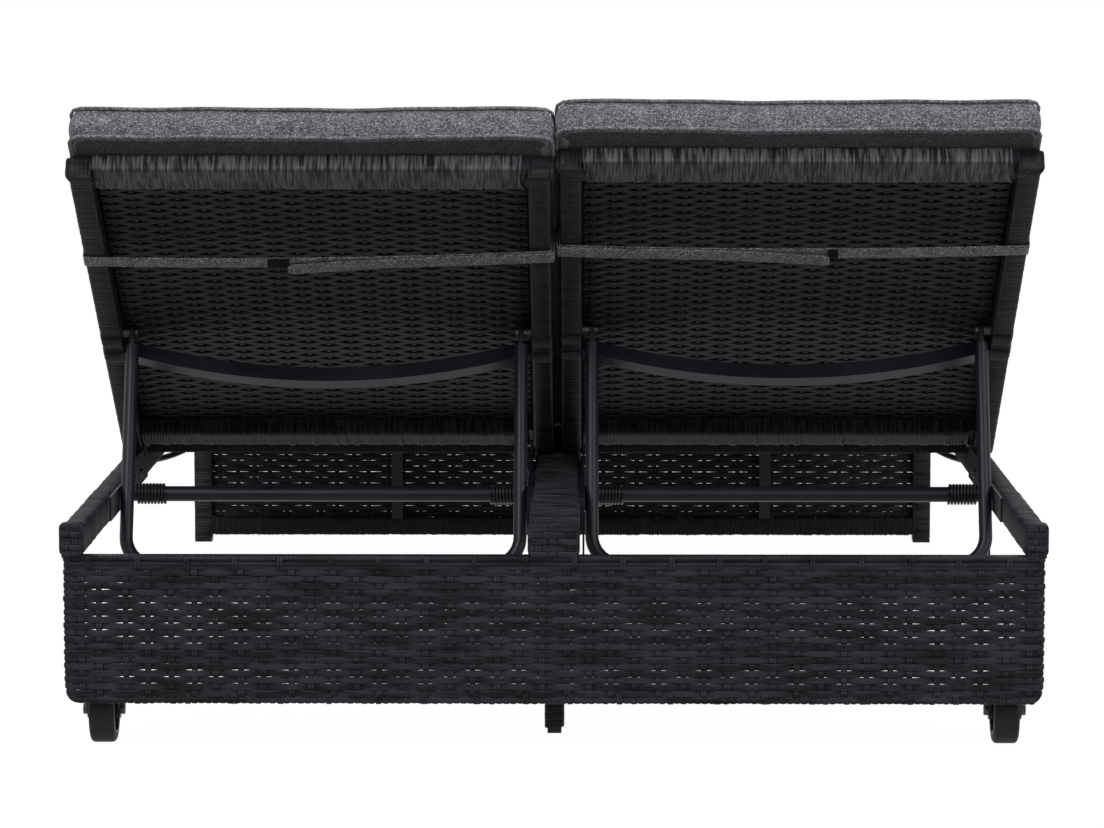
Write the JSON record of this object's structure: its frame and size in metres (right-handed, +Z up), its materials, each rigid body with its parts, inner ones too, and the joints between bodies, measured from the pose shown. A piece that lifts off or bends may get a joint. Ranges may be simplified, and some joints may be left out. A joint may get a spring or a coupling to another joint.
{
  "type": "double chaise lounger",
  "caption": "Double sun lounger with a woven base on legs and wheels, separate tilting backrests on prop stands, and loose seat and back cushions.",
  "frame": {"origin": "on the ground, under the middle of the base", "axes": "+X to the right seen from the head end, +Y from the head end to the foot end, +Z up"},
  "size_m": [1.316, 2, 0.853],
  "materials": {
    "black_metal": "gloss",
    "zinc": "satin",
    "wire": "gloss",
    "strand": "satin",
    "cushion": "woven",
    "hook_tape": "matte",
    "webbing": "woven",
    "black_plastic": "satin",
    "tyre": "matte"
  },
  "bodies": {
    "base": {"plate_bolts": "zinc", "spine_rail": "black_metal", "rail_wraps": "strand", "head_end_wraps": "strand", "head_frame": "black_metal", "head_weave": "strand", "leg_tubes": "black_metal", "leg_wraps": "strand", "foot_caps": "black_plastic", "foot_frame": "black_metal", "foot_weave": "strand", "rack_carriers": "black_metal", "wheel_axles": "zinc", "side_rail_left": "black_metal", "side_brace_left": "black_metal", "rail_bracket_left": "black_metal", "spine_bracket_left": "black_metal", "cross_tube_left": "black_metal", "rack_left": "black_metal", "seat_frame_left": "black_metal", "seat_weave_left": "strand", "seat_cushion_left": "cushion", "wheel_fork_left": "black_metal", "outer_winding_left": "wire", "inner_winding_left": "wire", "side_rail_right": "black_metal", "side_brace_right": "black_metal", "rail_bracket_right": "black_metal", "spine_bracket_right": "black_metal", "cross_tube_right": "black_metal", "rack_right": "black_metal", "seat_frame_right": "black_metal", "seat_weave_right": "strand", "seat_cushion_right": "cushion", "wheel_fork_right": "black_metal", "outer_winding_right": "wire", "inner_winding_right": "wire"},
    "backrest_left": {"back_bolts_left": "zinc", "back_frame_left": "black_metal", "back_wraps_left": "strand", "back_weave_left": "strand", "arc_brace_left": "black_metal", "back_strap_left": "webbing", "strap_patch_left": "hook_tape", "back_cushion_left": "cushion"},
    "stand_left": {"stand_left": "black_metal"},
    "wheel_left": {"wheel_hub_left": "black_plastic", "wheel_tyre_left": "tyre"},
    "backrest_right": {"back_bolts_right": "zinc", "back_frame_right": "black_metal", "back_wraps_right": "strand", "back_weave_right": "strand", "arc_brace_right": "black_metal", "back_strap_right": "webbing", "strap_patch_right": "hook_tape", "back_cushion_right": "cushion"},
    "stand_right": {"stand_right": "black_metal"},
    "wheel_right": {"wheel_hub_right": "black_plastic", "wheel_tyre_right": "tyre"}
  },
  "joints": [
    {"name": "backrest_left_hinge", "type": "hinge", "parent": "base", "child": "backrest_left", "pos_m": [-0.331, -0.19, 0.318], "axis": [-1, 0, 0], "range_deg": [-34.2, 6]},
    {"name": "stand_left_pivot", "type": "hinge", "parent": "backrest_left", "child": "stand_left", "pos_m": [-0.331, -0.46442, 0.51015], "axis": [-1, 0, 0], "range_deg": [-16.2, 92]},
    {"name": "backrest_right_hinge", "type": "hinge", "parent": "base", "child": "backrest_right", "pos_m": [0.331, -0.19, 0.318], "axis": [-1, 0, 0], "range_deg": [-35.1, 5.1]},
    {"name": "stand_right_pivot", "type": "hinge", "parent": "backrest_right", "child": "stand_right", "pos_m": [0.331, -0.46136, 0.51443], "axis": [-1, 0, 0], "range_deg": [-13.8, 94.4]},
    {"name": "wheel_left_spin", "type": "hinge", "parent": "base", "child": "wheel_left", "pos_m": [-0.605, -0.93, 0.045], "axis": [1, 0, 0], "continuous": true},
    {"name": "wheel_right_spin", "type": "hinge", "parent": "base", "child": "wheel_right", "pos_m": [0.605, -0.93, 0.045], "axis": [1, 0, 0], "continuous": true}
  ],
  "couplings": [
    {"joint": "stand_left_pivot", "follows": "backrest_left_hinge", "ratio": -2.687},
    {"joint": "stand_right_pivot", "follows": "backrest_right_hinge", "ratio": -2.687}
  ]
}
